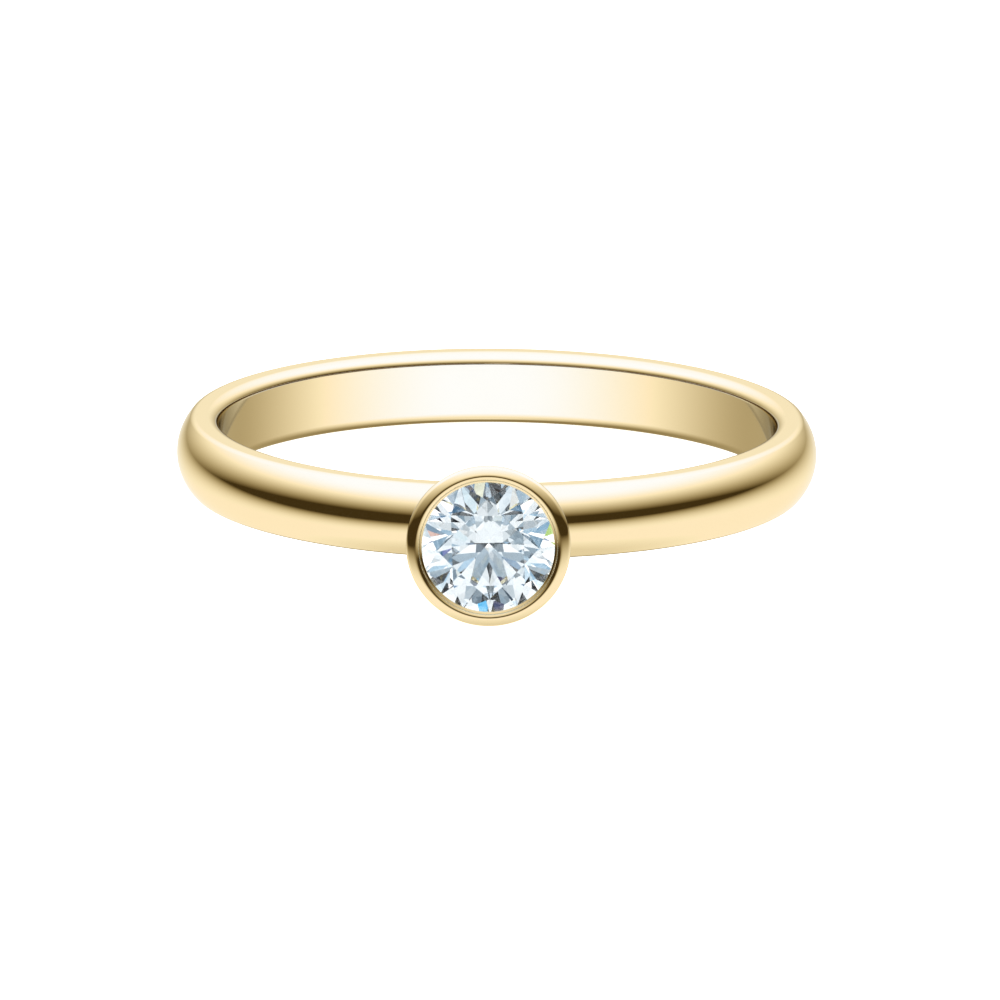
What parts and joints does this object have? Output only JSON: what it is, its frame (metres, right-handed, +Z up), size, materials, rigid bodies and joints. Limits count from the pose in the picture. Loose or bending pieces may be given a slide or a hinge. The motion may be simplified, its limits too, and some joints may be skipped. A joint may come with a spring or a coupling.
{
  "type": "bezel-set diamond solitaire ring",
  "caption": "Half-round yellow gold finger ring with a round brilliant stone held in a tapered bezel cup, lying on its side.",
  "frame": {"origin": "middle of the footprint, on the surface that the ring lies on", "axes": "+Z up from that surface, within 3.6 degrees of the finger axis; -Y towards the stone; X across the ring, which is symmetric about X = 0"},
  "size_m": [0.0198, 0.023, 0.005],
  "materials": {
    "yellow_gold": "mirror polish",
    "diamond": "cut and polished facets"
  },
  "bodies": {
    "root": {"band_with_bezel": "yellow_gold", "brilliant_stone": "diamond"}
  },
  "joints": []
}
